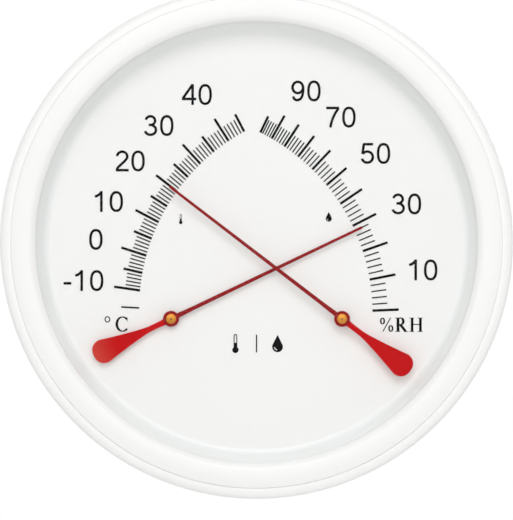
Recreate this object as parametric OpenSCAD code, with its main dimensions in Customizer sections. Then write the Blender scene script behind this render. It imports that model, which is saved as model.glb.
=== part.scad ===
// Round wall thermo-hygrometer with one coil movement for temperature and one for humidity.
// A moulded case carries both movements and the dial, and a snapped-in bezel holds the glass.
// The foot of the case rests on the wall plane Y = 0, the dial looks along -Y and +Z is up.
// Each piece is drawn face up, with X right, Y up and Z out of the wall, and is then stood up.

/* [Case] */
// Outer diameter of the case
case_d = 230; // [210:1:250]
// Radial width of the rim round the front of the case
rim_w = 5.05; // [4.8:0.05:6]
// Height of the rim above the dial
rim_rise = 13.2; // [6:0.1:13.4]
// Width of the stretch where the rim falls away to its outer edge
rim_round_w = 4.2; // [3:0.1:4.3]
// Height of that stretch
rim_round_h = 3; // [1.5:0.1:4]
// Rounding of the rim beside the bezel
rim_lip = 0.4; // [0.2:0.05:0.45]
// How far the flank draws in from the rim to the foot
flank_draft = 2.6; // [1:0.2:4]
// Rounding of the foot's outer edge
foot_chamfer = 1.2; // [0.4:0.1:2]
// Height of the foot, which keeps the back plate off the wall
foot_h = 2.5; // [1.5:0.1:5]
// Radial width of the foot
foot_w = 7; // [5:0.5:12]
// Thickness of the back plate
plate_t = 2; // [1.4:0.1:3]
// Thickness of the side wall behind the dial
wall_t = 2.4; // [1.6:0.1:4]
// Depth of the room between the back plate and the dial
cavity_h = 11; // [10.5:0.25:16]
// Radial width of the ledge that the dial lies on
ledge_w = 6.5; // [4.5:0.5:10]
// Thickness of the ledge
ledge_t = 1.6; // [1:0.1:3]
// Number of gussets under the ledge
gusset_count = 24; // [8:1:36]
// Thickness of the gussets and the ribs
rib_t = 1.4; // [0.8:0.1:2.5]
// Height of the ribs on the back plate
rib_h = 2; // [1:0.25:4]
// How much lower the radial ribs are than the ring rib
rib_step = 0.5; // [0.2:0.1:0.8]
// Radius of the ring rib on the back plate
rib_ring_r = 74; // [68:1:76]
// Number of air gaps in the foot, all at the bottom
air_gap_count = 3; // [1:1:3]
// Width of one air gap
air_gap_w = 12; // [6:1:14]

/* [Hanging keyhole] */
// Distance from the foot's inner edge down to the centre of the slot's end
keyhole_edge = 11.4; // [10:0.2:14]
// Diameter of the round entry for the screw's head
keyhole_d = 9; // [8:0.5:10]
// Width of the slot for the screw's shank
keyhole_slot_w = 4.4; // [3:0.2:5]
// Travel from the entry up to the end of the slot
keyhole_travel = 8; // [7:0.5:10]
// Room round the screw's head, inside the screening wall
keyhole_room = 2.6; // [1.5:0.1:3]
// Height of the screening wall round the keyhole
keyhole_wall_h = 7; // [4:0.5:10]

/* [Vents] */
// Slots in the rosette behind each movement
vent_count = 12; // [8:1:14]
// Width of one vent slot
vent_w = 2.4; // [1.5:0.1:3]
// Distance from the pivot to the inner end of a slot
vent_in_r = 7.5; // [7:0.25:9]
// Distance from the pivot to the outer end of a slot
vent_out_r = 14; // [12:0.5:15]
// Diameter of the hole that leads a screwdriver to the regulator
access_d = 7.6; // [7:0.2:9]

/* [Bezel and glass] */
// Radial width of the bezel
bezel_w = 10.6; // [9.8:0.1:12]
// Radius of the bezel's domed face
face_r = 12; // [9:0.5:20]
// Height of the domed face above the glass
face_h = 4.8; // [4.4:0.1:5.4]
// Rounding of the face at the window
lip_r = 1.5; // [0.8:0.1:2]
// Rounding of the face at its outer edge
edge_r = 0.8; // [0.4:0.1:1.2]
// Radius of the hollow behind the face
hollow_r = 2; // [1.2:0.1:2.2]
// Height of the hollow's centre above the glass
hollow_rise = 0.6; // [0.3:0.1:0.8]
// Thickness of the skirt that goes down to the dial
skirt_t = 2.2; // [1.6:0.1:2.6]
// Radial gap between the bezel and the case
bezel_gap = 0.15; // [0.1:0.05:0.4]
// Number of snap nubs round the skirt
snap_count = 6; // [3:1:12]
// Arc of one snap nub, in degrees
snap_arc = 8; // [4:1:14]
// How far a nub stands out of the skirt
snap_out = 0.8; // [0.6:0.1:1.2]
// Height of one nub
snap_h = 1.4; // [1:0.1:2]
// Height of the nubs above the dial
snap_rise = 1.6; // [1:0.1:2]
// Room round a nub in its pocket
snap_clear = 0.15; // [0.1:0.05:0.3]
// Thickness of the glass
glass_t = 2.4; // [1.8:0.1:3]
// Chamfer round the edge of the glass
glass_chamfer = 0.3; // [0.1:0.05:0.6]
// Radial gap between the skirt and the glass, the spacer ring and the dial
glass_gap = 0.4; // [0.2:0.05:0.8]

/* [Dial] */
// Thickness of the dial plate
dial_t = 0.8; // [0.5:0.1:1.2]
// Depth between the dial and the glass
pointer_room = 7.7; // [7.2:0.1:10]
// How far the spacer ring slopes inward, from the glass down to the dial
ring_slope = 3.2; // [1:0.2:4]
// Thickness of the spacer ring
ring_t = 1.4; // [1:0.1:2]
// Radial width of the spacer ring's foot
ring_foot_w = 4.5; // [3:0.5:6]
// Width of the peg that stops the dial from turning
peg_w = 2; // [1.2:0.2:3]
// Room round the peg in the dial's notch
peg_clear = 0.15; // [0.1:0.05:0.3]
// Thickness of the printed marks
ink_t = 0.12; // [0.08:0.01:0.2]

/* [Temperature scale] */
// Angle of the zero mark about the temperature pivot, in degrees
temperature_zero = 162.1; // [160:0.1:164]
// Turn of the pointer for each degree Celsius, clockwise, in degrees
temperature_gain = 0.99; // [0.9:0.01:1.02]
// Lowest mark, in degrees Celsius
temperature_low = -15; // [-15:5:-15]
// Start of the fine marks, in degrees Celsius
temperature_fine_low = -10; // [-10:5:0]
// Highest mark, in degrees Celsius
temperature_high = 45; // [30:5:45]
// Reading shown, in degrees Celsius
temperature_now = 19.8; // [10:0.1:30]
// Radius of the marks' inner ends
temperature_scale_r = 91.4; // [88:0.2:94]
// How far the centre of the scale's arc lies above the pivot
temperature_scale_rise = 4.5; // [0:0.1:6]

/* [Humidity scale] */
// Angle of the zero mark about the humidity pivot, in degrees
humidity_zero = 2.3; // [2.2:0.1:4]
// Turn of the pointer for the whole scale if it were even, in degrees
humidity_gain = 91.5; // [88:0.5:94]
// Loss of turn at the damp end, where the marks crowd together, in degrees
humidity_crowding = 29.4; // [26:0.2:32]
// Highest mark, in per cent of relative humidity
humidity_high = 100; // [90:10:100]
// Reading shown, in per cent of relative humidity
humidity_now = 28; // [15:1:60]
// Radius of the marks' inner ends
humidity_scale_r = 90.9; // [88:0.1:94]
// How far the centre of the scale's arc lies above the pivot
humidity_scale_rise = 2.6; // [0:0.1:5]

/* [Marks] */
// Length of a fine mark
fine_mark_l = 6.6; // [4:0.1:8]
// Width of a fine mark
fine_mark_w = 0.42; // [0.2:0.02:0.5]
// Length of a five degree mark
medium_mark_l = 8.6; // [6:0.1:9]
// Length of a mark that has a number
long_mark_l = 11.7; // [9:0.1:12]
// Width of the five and ten degree marks
long_mark_w = 0.95; // [0.5:0.05:1.1]
// Length of the first and last marks
end_mark_l = 8; // [6:0.1:9]
// Width of the lone mark at the cold end
end_mark_w = 0.56; // [0.4:0.02:0.8]

/* [Pointers] */
// Distance between the two pivots
pivot_spacing = 77; // [76:0.5:80]
// Distance of the pivots below the centre of the case
pivot_drop = 34.4; // [30:0.2:36]
// Length of the temperature needle from its pivot
temperature_needle_l = 97.9; // [90:0.1:100]
// Length of the humidity needle from its pivot
humidity_needle_l = 95.6; // [90:0.1:100]
// Width of a needle at the pivot
needle_root_w = 1.8; // [1.4:0.1:2]
// Width of a needle at its tip
needle_tip_w = 1.2; // [0.8:0.1:1.4]
// Thickness of the pointer sheet
pointer_t = 0.5; // [0.3:0.1:0.6]
// Radius of the disc round the pivot
pointer_disc_r = 3.6; // [3:0.1:4.2]
// Width of the tail where it leaves the disc
tail_neck_w = 2.5; // [2:0.1:3]
// Distance from the pivot to where the tail starts to flare
tail_neck_l = 15; // [10:0.5:20]
// Room between a tail and the spacer ring where they come closest
tail_gap = 5.6; // [2:0.1:10]
// Radius of the tail's rounded end
tail_end_r = 5.3; // [4:0.1:6]
// How far the centre of the rounded end lies short of the widest part
tail_end_back = 0.8; // [0.5:0.1:1.5]
// Radius of a pointer's brass hub
hub_r = 2.25; // [2:0.05:2.6]
// Radius of the hub's neck, which goes through the pointer
hub_neck_r = 1.4; // [1.2:0.1:1.6]
// Thickness of the hub's flange behind the pointer
hub_flange_t = 0.6; // [0.4:0.1:0.7]
// Height of the hub's edge in front of the pointer
hub_head_t = 0.35; // [0.2:0.05:0.4]
// Rise of the hub's domed top
hub_dome_t = 0.4; // [0.2:0.05:0.5]
// Gap between the dial and the humidity pointer
humidity_lift = 2.6; // [2.3:0.1:2.8]
// Gap between the dial and the temperature pointer
temperature_lift = 5.2; // [5.1:0.1:5.6]

/* [Movements] */
// Height of the bosses that carry a bridge
boss_h = 2; // [1.9:0.1:2.6]
// Radius of a bridge boss
boss_r = 3.4; // [2.8:0.1:4]
// Distance from the pivot to each bridge screw
bridge_reach = 19; // [18:0.5:22]
// Width of the bridge strip
bridge_w = 8; // [7:0.5:9]
// Thickness of the bridge strip
bridge_t = 1; // [0.8:0.1:1.2]
// Radius of the screw shanks
screw_r = 1.1; // [0.9:0.05:1.3]
// Room round a screw's shank
screw_clear = 0.08; // [0.05:0.01:0.1]
// Radius of the screw heads
screw_head_r = 2.1; // [1.8:0.1:2.4]
// Height of the screw heads
screw_head_h = 1.3; // [1:0.1:1.6]
// Width of the slot in a screw's head
screw_slot_w = 0.8; // [0.6:0.1:1]
// Plastic left under the end of a screw
screw_floor = 0.8; // [0.5:0.1:1]
// Radius of the pivots at both ends of an arbor
pivot_r = 0.6; // [0.5:0.05:0.65]
// Radius of the arbor between its pivots
arbor_r = 1.2; // [1:0.05:1.3]
// Radial clearance of every turning fit, and of the bushes in the dial
running_clear = 0.04; // [0.02:0.01:0.08]
// End play of the arbors and the regulators
end_play = 0.15; // [0.1:0.05:0.2]
// Radius of the bearing bush where it goes through the dial
bush_r = 2; // [1.6:0.1:2.4]
// Radius of the bush's flange behind the dial
bush_flange_r = 3.6; // [3:0.1:4]
// Thickness of the bush's flange
bush_flange_t = 0.8; // [0.6:0.1:1]
// How far the bush stands out of the dial
bush_out = 0.5; // [0.3:0.1:0.6]

/* [Coils] */
// Turns of the bimetal strip
temperature_turns = 5; // [3:1:7]
// Thickness of the bimetal strip
temperature_strip_t = 0.35; // [0.2:0.05:0.5]
// Turns of the humidity strip
humidity_turns = 7; // [4:1:7]
// Thickness of the humidity strip
humidity_strip_t = 0.25; // [0.15:0.05:0.35]
// Radius where the turns of a coil start
coil_in_r = 3.1; // [3:0.1:3.6]
// Width of the coiled strips
coil_w = 4; // [3:0.1:4.2]
// Radius of the collet that grips a coil's inner end
collet_r = 2.5; // [2:0.1:2.6]
// Room round a strip in the slit that grips it
grip_clear = 0.06; // [0.04:0.01:0.1]
// How far a collet and a post reach past the strip that they grip
grip_over = 0.3; // [0.2:0.1:0.5]

/* [Regulators] */
// Turn of the temperature regulator either way, in degrees
temperature_trim = 5; // [2:0.5:6]
// Turn of the humidity regulator either way, in degrees
humidity_trim = 1.2; // [0.6:0.2:1.2]
// Radius of the regulator's slotted head
regulator_head_r = 3.2; // [3:0.1:3.4]
// Thickness of the slotted head
regulator_head_t = 1.1; // [0.9:0.1:1.2]
// Width of the screwdriver slot
regulator_slot_w = 0.8; // [0.6:0.1:1]
// Depth of the screwdriver slot
regulator_slot_h = 0.6; // [0.4:0.1:0.7]
// Radius of the regulator where it turns in the bridge
regulator_r = 2.2; // [2.1:0.1:2.4]
// Radius of the neck that the arm is staked on
regulator_neck_r = 1.7; // [1.5:0.1:1.8]
// Thickness of the friction washer
washer_t = 0.3; // [0.2:0.05:0.4]
// Thickness of the regulator's arm
arm_t = 0.8; // [0.6:0.1:1]
// Width of the regulator's arm
arm_w = 3; // [2.4:0.1:3.6]
// Radius of the ring at the root of the arm
arm_ring_r = 3.8; // [3.4:0.1:4.2]
// How far the staked neck stands out of the arm
stake_h = 0.35; // [0.2:0.05:0.4]
// Distance from the pivot to the post that grips a coil's outer end
post_reach = 13; // [12:0.25:13.5]
// Radius of the post
post_r = 1; // [0.8:0.1:1.1]
// Distance from the pivot to the stop pin
stop_reach = 8.5; // [8:0.25:9.5]
// Radius of the stop pin
stop_r = 0.55; // [0.4:0.05:0.7]

/* [Hidden] */

// Facets of large rings, small round parts and fine pins
large_fn = 180;
small_fn = 48;
// Straight pieces in one turn of a coil and in one round stretch of a profile
coil_steps = 24;
arc_steps = 14;
// Turn from the last point of one rounding to the first of the next
join_angle = 2;
// Overrun of a cut past the face that it opens
over = 1;

// Radii of the case, from the rim inward
case_r = case_d / 2;
seat_r = case_r - rim_w;
bezel_r = seat_r - bezel_gap;
window_r = bezel_r - bezel_w;
skirt_in_r = bezel_r - skirt_t;
inner_r = skirt_in_r - glass_gap;
foot_out_r = case_r - flank_draft;
foot_in_r = foot_out_r - foot_w;
ledge_in_r = seat_r - ledge_w;
keyhole_rise = foot_in_r - keyhole_edge - keyhole_travel;

// Reach of the tails, which stay inside the spacer ring when they point straight outward
tail_l = window_r - ring_slope - norm([pivot_spacing / 2, pivot_drop]) - tail_gap;
tail_flare_l = tail_l - tail_end_r + tail_end_back;

// Levels above the wall, from the back to the front
plate_top = foot_h + plate_t;
dial_bottom = plate_top + cavity_h;
dial_top = dial_bottom + dial_t;
glass_bottom = dial_top + pointer_room;
glass_top = glass_bottom + glass_t;
rim_top = dial_top + rim_rise;
rim_level = rim_top - rim_round_h;

// Levels of a movement, from the back plate to the dial
bridge_bottom = plate_top + boss_h;
bridge_top = bridge_bottom + bridge_t;
head_top = bridge_bottom - washer_t;
head_bottom = head_top - regulator_head_t;
arm_bottom = bridge_top + end_play;
arm_top = arm_bottom + arm_t;
regulator_top = arm_top + stake_h;
shoulder_bottom = regulator_top + end_play;
bush_bottom = dial_bottom - bush_flange_t;
shoulder_top = bush_bottom - end_play;
bush_top = dial_top + bush_out;
coil_bottom = (shoulder_bottom + shoulder_top - coil_w) / 2;
coil_top = coil_bottom + coil_w;

// A coil turns up to this place, just short of its post, and runs straight through the post
coil_end = [post_reach, -post_r - grip_over];
coil_out_r = norm(coil_end);

// Sides that the two pivots lie on
right = 1;
left = -1;

function temperature_angle(reading) = temperature_zero - temperature_gain * reading;
function humidity_angle(reading) =
    let (share = reading / 100)
    humidity_zero + humidity_gain * share - humidity_crowding * share * share;

// Turn of a coil from its tab to where it meets the post, and the points of its middle line
function coil_turn(turns) = 360 * turns + atan2(coil_end.y, coil_end.x);
function coil_point(turns, angle) =
    let (radius = coil_in_r + (coil_out_r - coil_in_r) * angle / coil_turn(turns))
    radius * [cos(angle), sin(angle)];
function coil_middle(turns) = [
    for (i = [0 : turns * coil_steps - 1]) coil_point(turns, 360 * i / coil_steps),
    coil_end
];

// Points of the middle line moved square to the radius by a share of the strip
function coil_side(turns, shift) =
    [for (p = coil_middle(turns)) p * (1 + shift / norm(p))];
function coil_gap(turns, strip_t) =
    let (middle = coil_middle(turns))
    min([for (i = [0 : len(middle) - coil_steps - 2]) norm(middle[i + coil_steps] - middle[i])]) - strip_t;

echo(least_gap_of_temperature_coil_mm = coil_gap(temperature_turns, temperature_strip_t));
echo(least_gap_of_humidity_coil_mm = coil_gap(humidity_turns, humidity_strip_t));

// Stands a piece up that was drawn face up
module stand() rotate([90, 0, 0]) children();

// Places a piece of a movement on its pivot
module at_pivot(side) stand() translate([side * pivot_spacing / 2, -pivot_drop, 0]) children();

// Solid ring or disc between two levels
module disc(r, bottom, top, fn = small_fn)
    translate([0, 0, bottom]) cylinder(r = r, h = top - bottom, $fn = fn);

// Ring of a profile drawn as radius and level
module revolve(points, fn = large_fn) rotate_extrude($fn = fn) polygon(points);

// Points along a round stretch of a profile, from one angle to the other
function arc_points(centre, r, from, to) = [
    for (i = [0 : arc_steps])
        let (angle = from + (to - from) * i / arc_steps)
        centre + r * [cos(angle), sin(angle)]
];

// Part of a ring with a square section, centred on the X axis
module arc_block(in_r, out_r, bottom, top, arc)
    rotate([0, 0, -arc / 2]) rotate_extrude(angle = arc, $fn = large_fn)
        translate([in_r, bottom]) square([out_r - in_r, top - bottom]);

// Slot with round ends that runs outward along the X axis
module slot(start, end, width, bottom, top) {
    for (x = [start, end]) translate([x, 0, 0]) disc(width / 2, bottom, top);
    translate([start, -width / 2, bottom]) cube([end - start, width, top - bottom]);
}

// Copies at equal steps round the centre
module around(count, first = 0) for (i = [0 : count - 1]) rotate([0, 0, first + i * 360 / count]) children();

// Shell of the case: foot, back plate, flank, rounded rim, seat and ledge
module case_shell()
    revolve([
        [0, foot_h],
        [foot_in_r, foot_h],
        [foot_in_r, 0],
        [foot_out_r - foot_chamfer, 0],
        [foot_out_r, foot_chamfer],
        for (point = arc_points([0, 0], 1, 0, 90))
            [case_r - rim_round_w * (1 - point.x), rim_level + rim_round_h * point.y],
        each arc_points([seat_r + rim_lip, rim_top - rim_lip], rim_lip, 90, 180),
        [seat_r, dial_bottom],
        [ledge_in_r, dial_bottom],
        [ledge_in_r, dial_bottom - ledge_t],
        [foot_out_r - wall_t, dial_bottom - ledge_t],
        [foot_out_r - wall_t, plate_top],
        [0, plate_top]
    ]);

// Gussets under the ledge and ribs on the back plate
module case_ribs() {
    around(gusset_count) translate([0, rib_t / 2, 0]) rotate([90, 0, 0]) linear_extrude(rib_t)
        polygon([
            [foot_out_r - wall_t / 2, plate_top - plate_t / 2],
            [ledge_in_r + ledge_w / 2, plate_top - plate_t / 2],
            [ledge_in_r, dial_bottom - ledge_t / 2],
            [foot_out_r - wall_t / 2, dial_bottom - ledge_t / 2]
        ]);
    revolve([
        [rib_ring_r, foot_h + plate_t / 2],
        [rib_ring_r + rib_t, foot_h + plate_t / 2],
        [rib_ring_r + rib_t, plate_top + rib_h],
        [rib_ring_r, plate_top + rib_h]
    ]);
    around(gusset_count / 2, 360 / gusset_count)
        translate([rib_ring_r + rib_t / 2, -rib_t / 2, foot_h + plate_t / 2])
            cube([foot_out_r - wall_t / 2 - rib_ring_r - rib_t / 2, rib_t, plate_t / 2 + rib_h - rib_step]);
}

// Keyhole with its round entry below and its slot running up
module keyhole(entry_r, slot_r, bottom, top) translate([0, keyhole_rise, 0]) {
    disc(entry_r, bottom, top);
    rotate([0, 0, 90]) slot(0, keyhole_travel, 2 * slot_r, bottom, top);
}

module bridge_bosses() for (side = [left, right], end = [left, right])
    translate([side * pivot_spacing / 2 + end * bridge_reach, -pivot_drop, 0])
        children();

module rear_case() color("white") stand() difference() {
    union() {
        case_shell();
        case_ribs();
        bridge_bosses() disc(boss_r, plate_top - plate_t / 2, bridge_bottom);
        keyhole(
            keyhole_d / 2 + keyhole_room + rib_t, keyhole_d / 2 + keyhole_room + rib_t,
            plate_top - plate_t / 2, plate_top + keyhole_wall_h
        );
        translate([0, -inner_r + peg_w, 0])
            disc(peg_w / 2, dial_bottom - ledge_t / 2, dial_top - end_play, small_fn);
    }
    keyhole(keyhole_d / 2 + keyhole_room, keyhole_d / 2 + keyhole_room, plate_top, plate_top + cavity_h);
    keyhole(keyhole_d / 2, keyhole_slot_w / 2, foot_h - over, plate_top + over);
    bridge_bosses() disc(screw_r, foot_h + screw_floor, bridge_bottom + over);
    for (side = [left, right]) translate([side * pivot_spacing / 2, -pivot_drop, 0]) {
        disc(access_d / 2, foot_h - over, plate_top + over);
        around(vent_count, 180 / vent_count)
            slot(vent_in_r, vent_out_r, vent_w, foot_h - over, plate_top + over);
    }
    for (i = [0 : air_gap_count - 1])
        rotate([0, 0, -90 + (i - (air_gap_count - 1) / 2) * 2 * air_gap_w * 180 / (PI * foot_out_r)])
            translate([foot_in_r - over, -air_gap_w / 2, -over])
                cube([foot_w + flank_draft + over, air_gap_w, foot_h + over]);
    around(snap_count) arc_block(
        seat_r - over, bezel_r + snap_out + snap_clear,
        dial_top + snap_rise - snap_clear, dial_top + snap_rise + snap_h + snap_clear,
        snap_arc + 2 * snap_clear
    );
}

// Centre of the domed face, and of a small rounding that runs into it at a given radius from the axis
face_centre = [(window_r + bezel_r) / 2, glass_top + face_h - face_r];
function rounding_centre(x, r) = [x, face_centre.y + sqrt((face_r - r) ^ 2 - (x - face_centre.x) ^ 2)];
function rounding_angle(centre) = atan2(centre.y - face_centre.y, centre.x - face_centre.x);

// Hollow ring: domed face that ends in a lip on the glass and in a skirt that snaps into the case
module bezel() color("white") stand() {
    lip_centre = rounding_centre(window_r + lip_r, lip_r);
    edge_centre = rounding_centre(bezel_r - edge_r, edge_r);
    revolve([
        [window_r, glass_top],
        each arc_points(lip_centre, lip_r, 180, rounding_angle(lip_centre)),
        each arc_points(
            face_centre, face_r,
            rounding_angle(lip_centre) - join_angle, rounding_angle(edge_centre) + join_angle
        ),
        each arc_points(edge_centre, edge_r, rounding_angle(edge_centre), 0),
        [bezel_r, dial_bottom + bezel_gap],
        [skirt_in_r, dial_bottom + bezel_gap],
        each arc_points([skirt_in_r - hollow_r, glass_top + hollow_rise], hollow_r, 0, 180),
        [skirt_in_r - 2 * hollow_r, glass_top]
    ]);
    around(snap_count)
        arc_block(bezel_r - skirt_t / 2, bezel_r + snap_out,
            dial_top + snap_rise, dial_top + snap_rise + snap_h, snap_arc);
}

module lens() color([0.8, 0.92, 0.9, 0.3]) stand() revolve([
    [0, glass_bottom],
    [inner_r - glass_chamfer, glass_bottom],
    [inner_r, glass_bottom + glass_chamfer],
    [inner_r, glass_top - glass_chamfer],
    [inner_r - glass_chamfer, glass_top],
    [0, glass_top]
]);

// Spacer ring: a foot on the dial, a sloped wall and a flange under the glass
module dial_ring() color("whitesmoke") stand() revolve([
    [window_r - ring_slope, dial_top],
    [window_r - ring_slope + ring_foot_w, dial_top],
    [window_r - ring_slope + ring_foot_w, dial_top + ring_t],
    [window_r - ring_slope + 2 * ring_t, dial_top + ring_t],
    [window_r + ring_t, glass_bottom - ring_t],
    [inner_r, glass_bottom - ring_t],
    [inner_r, glass_bottom],
    [window_r, glass_bottom]
]);

module dial_plate() color("ivory") stand() difference() {
    disc(inner_r, dial_bottom, dial_top, large_fn);
    for (side = [left, right])
        translate([side * pivot_spacing / 2, -pivot_drop, 0])
            disc(bush_r + running_clear, dial_bottom - over, dial_top + over);
    translate([-peg_w / 2 - peg_clear, -inner_r - over, dial_bottom - over])
        cube([peg_w + 2 * peg_clear, 3 * peg_w / 2 + peg_clear + over, dial_t + 2 * over]);
}

// One printed mark on a scale whose arc is centred above the pivot
module mark(angle, scale_r, scale_rise, length, width)
    rotate([0, 0, angle]) translate([scale_r + scale_rise * sin(angle), -width / 2, dial_top])
        cube([length, width, ink_t]);

module temperature_scale() color("black") at_pivot(right) {
    mark(
        temperature_angle(temperature_low), temperature_scale_r, temperature_scale_rise,
        end_mark_l, end_mark_w
    );
    for (reading = [temperature_fine_low : temperature_high])
        mark(
            temperature_angle(reading), temperature_scale_r, temperature_scale_rise,
            reading % 10 == 0 ? long_mark_l : reading % 5 == 0 ? medium_mark_l : fine_mark_l,
            reading % 5 == 0 ? long_mark_w : fine_mark_w
        );
}

module humidity_scale() color("black") at_pivot(left)
    for (reading = [0 : 2 : humidity_high])
        mark(
            humidity_angle(reading), humidity_scale_r, humidity_scale_rise,
            reading % 10 > 0 ? fine_mark_l : reading == humidity_high ? end_mark_l : long_mark_l,
            reading % 10 > 0 ? fine_mark_w : long_mark_w
        );

// Strip that spans two bosses, with the hole for the regulator and the arc slot for its stop pin
module bridge(side, trim) at_pivot(side) difference() {
    union() {
        slot(-bridge_reach, bridge_reach, bridge_w, bridge_bottom, bridge_top);
        disc(bridge_w / 2 + rib_t, bridge_bottom, bridge_top);
    }
    disc(regulator_r + running_clear, bridge_bottom - over, bridge_top + over);
    for (x = [-bridge_reach, bridge_reach])
        translate([x, 0, 0]) disc(screw_r + screw_clear, bridge_bottom - over, bridge_top + over);
    scale([side, 1, 1]) {
        arc_block(
            stop_reach - stop_r - running_clear, stop_reach + stop_r + running_clear,
            bridge_bottom - over, bridge_top + over, 2 * trim
        );
        for (angle = [-trim, trim]) rotate([0, 0, angle]) translate([stop_reach, 0, 0])
            disc(stop_r + running_clear, bridge_bottom - over, bridge_top + over);
    }
}

// Two screws with slotted heads
module bridge_screws(side) at_pivot(side) for (x = [-bridge_reach, bridge_reach]) translate([x, 0, 0])
    difference() {
        union() {
            disc(screw_r, foot_h + screw_floor, bridge_top + screw_head_h / 2);
            disc(screw_head_r, bridge_top, bridge_top + screw_head_h);
        }
        rotate([0, 0, 45])
            translate([-screw_head_r - over, -screw_slot_w / 2, bridge_top + screw_head_h / 2])
                cube([2 * (screw_head_r + over), screw_slot_w, screw_head_h]);
    }

// Washer that loads the regulator so that it stays where it is set
module friction_washer(side) at_pivot(side) difference() {
    disc(regulator_head_r, head_top, bridge_bottom);
    disc(regulator_r + running_clear, head_top - over, bridge_bottom + over);
}

// Slotted hub that turns in the bridge and holds the arbor's rear pivot
module regulator(side) at_pivot(side) difference() {
    union() {
        disc(regulator_head_r, head_bottom, head_top);
        disc(regulator_r, head_bottom, arm_bottom);
        disc(regulator_neck_r, head_bottom, regulator_top);
    }
    disc(pivot_r + running_clear, head_top, regulator_top + over);
    translate([-regulator_head_r - over, -regulator_slot_w / 2, head_bottom - over])
        cube([2 * (regulator_head_r + over), regulator_slot_w, regulator_slot_h + over]);
}

// Arm with the post that grips the coil's outer end, and the stop pin that runs in the bridge's slot
module regulator_arm(side, strip_t) at_pivot(side) scale([side, 1, 1]) difference() {
    union() {
        disc(arm_ring_r, arm_bottom, arm_top);
        slot(0, post_reach, arm_w, arm_bottom, arm_top);
        translate([post_reach, 0, 0]) disc(post_r, arm_bottom, coil_top + grip_over);
        translate([stop_reach, 0, 0]) disc(stop_r, bridge_bottom + end_play, arm_top);
    }
    disc(regulator_neck_r, arm_bottom - over, arm_top + over);
    translate([post_reach - strip_t / 2 - grip_clear, -post_r - over, coil_bottom])
        cube([strip_t + 2 * grip_clear, 2 * (post_r + over), coil_w + grip_over + over]);
}

module bearing_bush(side) at_pivot(side) difference() {
    union() {
        disc(bush_flange_r, bush_bottom, dial_bottom);
        disc(bush_r, bush_bottom, bush_top);
    }
    disc(pivot_r + running_clear, bush_bottom - over, bush_top + over);
}

// Stepped spindle from the regulator's blind hole to the pointer's hub
module arbor(side, lift) at_pivot(side) {
    disc(pivot_r, head_top + end_play, dial_top + lift + pointer_t + hub_head_t + hub_dome_t);
    disc(arbor_r, shoulder_bottom, shoulder_top);
}

// Collar on the arbor with a slit for the coil's inner end
module collet(side, strip_t) at_pivot(side) scale([side, 1, 1]) difference() {
    disc(collet_r, coil_bottom - grip_over, coil_top + grip_over);
    disc(arbor_r, coil_bottom - over, coil_top + over);
    translate([0, -strip_t / 2 - grip_clear, coil_bottom])
        cube([collet_r + over, strip_t + 2 * grip_clear, coil_w + grip_over + over]);
}

// Outline of the strip: out along the tab, round the turns on their outer side, through the post and back
function coil_outline(turns, strip_t) =
    let (
        tab_start = arbor_r + grip_clear,
        tip = post_r + grip_over,
        outer_side = coil_side(turns, strip_t / 2),
        inner_side = coil_side(turns, -strip_t / 2)
    )
    [
        [tab_start, -strip_t / 2],
        [coil_in_r + strip_t / 2, -strip_t / 2],
        each outer_side,
        [post_reach + strip_t / 2, tip],
        [post_reach - strip_t / 2, tip],
        for (i = [len(inner_side) - 1 : -1 : 1]) inner_side[i],
        [coil_in_r - strip_t / 2, strip_t / 2],
        [tab_start, strip_t / 2]
    ];

// Flat spiral strip, bent inward to a tab at the collet and straight where the post grips it
module coil(side, turns, strip_t) at_pivot(side) scale([side, 1, 1])
    translate([0, 0, coil_bottom]) linear_extrude(coil_w) polygon(coil_outline(turns, strip_t));

// Needle, disc and flared tail cut from one sheet
module pointer(side, angle, needle_l, lift) at_pivot(side) rotate([0, 0, angle])
    translate([0, 0, dial_top + lift]) difference() {
        union() {
            linear_extrude(pointer_t) polygon([
                [0, -needle_root_w / 2], [needle_l, -needle_tip_w / 2],
                [needle_l, needle_tip_w / 2], [0, needle_root_w / 2]
            ]);
            linear_extrude(pointer_t) polygon([
                [0, tail_neck_w / 2], [-tail_neck_l, tail_neck_w / 2],
                [-tail_flare_l, tail_end_r * cos(asin(tail_end_back / tail_end_r))],
                [-tail_flare_l, -tail_end_r * cos(asin(tail_end_back / tail_end_r))],
                [-tail_neck_l, -tail_neck_w / 2], [0, -tail_neck_w / 2]
            ]);
            translate([tail_end_back - tail_flare_l, 0, 0]) disc(tail_end_r, 0, pointer_t);
            disc(pointer_disc_r, 0, pointer_t);
        }
        disc(hub_neck_r, -over, pointer_t + over);
    }

// Brass hub pressed on the arbor: a flange under the pointer, a neck through it and a domed head
module pointer_hub(side, lift) at_pivot(side) translate([0, 0, dial_top + lift]) {
    dome_r = (hub_r * hub_r + hub_dome_t * hub_dome_t) / (2 * hub_dome_t);
    dome_points = [for (i = [0 : arc_steps]) hub_r + (pivot_r - hub_r) * i / arc_steps];
    revolve([
        [pivot_r, -hub_flange_t],
        [hub_r, -hub_flange_t],
        [hub_r, 0],
        [hub_neck_r, 0],
        [hub_neck_r, pointer_t],
        [hub_r, pointer_t],
        for (x = dome_points)
            [x, pointer_t + hub_head_t + hub_dome_t - dome_r + sqrt(dome_r * dome_r - x * x)]
    ], small_fn);
}

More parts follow.
